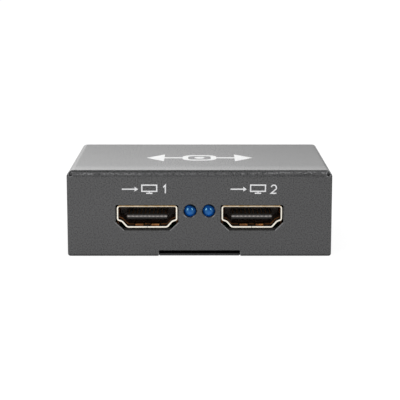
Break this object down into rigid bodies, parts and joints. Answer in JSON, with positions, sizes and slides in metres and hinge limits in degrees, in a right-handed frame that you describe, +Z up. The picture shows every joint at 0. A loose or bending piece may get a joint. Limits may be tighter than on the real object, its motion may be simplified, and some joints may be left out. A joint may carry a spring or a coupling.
{
  "type": "video splitter",
  "caption": "Small folded-metal box that copies the video signal from a socket on its rear to output sockets on its front, with status lamps and a power inlet.",
  "frame": {"origin": "middle of the bottom, on the surface that the base plate rests on", "axes": "+Z up, +X to the right seen from the front, outputs face -Y, input and power face +Y"},
  "size_m": [0.064, 0.045, 0.021],
  "materials": {
    "case_paint": "fine-textured anthracite paint, low sheen",
    "base_paint": "the same paint on the flat base",
    "zinc_plate": "bright zinc plate",
    "screw_steel": "nickel-plated steel",
    "standoff_steel": "plated steel, turned",
    "board_mask": "green solder mask over laminate",
    "socket_plating": "nickel-plated sheet, softly polished",
    "socket_insulation": "black high-temperature moulding",
    "contact_gold": "gold flash over copper alloy",
    "black_moulding": "black moulding, slightly satin",
    "socket_pin_metal": "nickel-plated brass pin",
    "spring_metal": "plated spring strip",
    "blue_lens": "clear blue-tinted resin",
    "tinned_lead": "matte tin",
    "chip_moulding": "matte black moulding compound",
    "ferrite": "dark grey ferrite",
    "can_metal": "drawn nickel-plated can",
    "can_aluminium": "drawn aluminium can",
    "tan_ceramic": "tan ceramic",
    "black_ceramic": "black-coated ceramic"
  },
  "bodies": {
    "root": {"base_plate": "base_paint", "board_screws": "screw_steel", "board_standoffs": "standoff_steel", "capacitor_bases": "black_moulding", "capacitor_cans": "can_aluminium", "case_screws": "screw_steel", "chip_capacitors": "tan_ceramic", "chip_end_caps": "tinned_lead", "chip_resistors": "black_ceramic", "circuit_board": "board_mask", "cover": "case_paint", "cover_brackets": "zinc_plate", "crystal_can": "can_metal", "crystal_feet": "tinned_lead", "inductor_core": "ferrite", "input_contacts": "contact_gold", "input_insulator": "socket_insulation", "input_shell": "socket_plating", "lamp_1_leads": "tinned_lead", "lamp_1_lens": "blue_lens", "lamp_2_leads": "tinned_lead", "lamp_2_lens": "blue_lens", "memory_chip": "chip_moulding", "memory_chip_leads": "tinned_lead", "output_1_contacts": "contact_gold", "output_1_insulator": "socket_insulation", "output_1_shell": "socket_plating", "output_2_contacts": "contact_gold", "output_2_insulator": "socket_insulation", "output_2_shell": "socket_plating", "power_inductor": "ferrite", "power_socket_housing": "black_moulding", "power_socket_pin": "socket_pin_metal", "power_socket_spring": "spring_metal", "splitter_chip": "chip_moulding", "splitter_chip_leads": "tinned_lead", "surge_protectors": "chip_moulding", "voltage_regulator": "chip_moulding", "voltage_regulator_leads": "tinned_lead"}
  },
  "joints": []
}
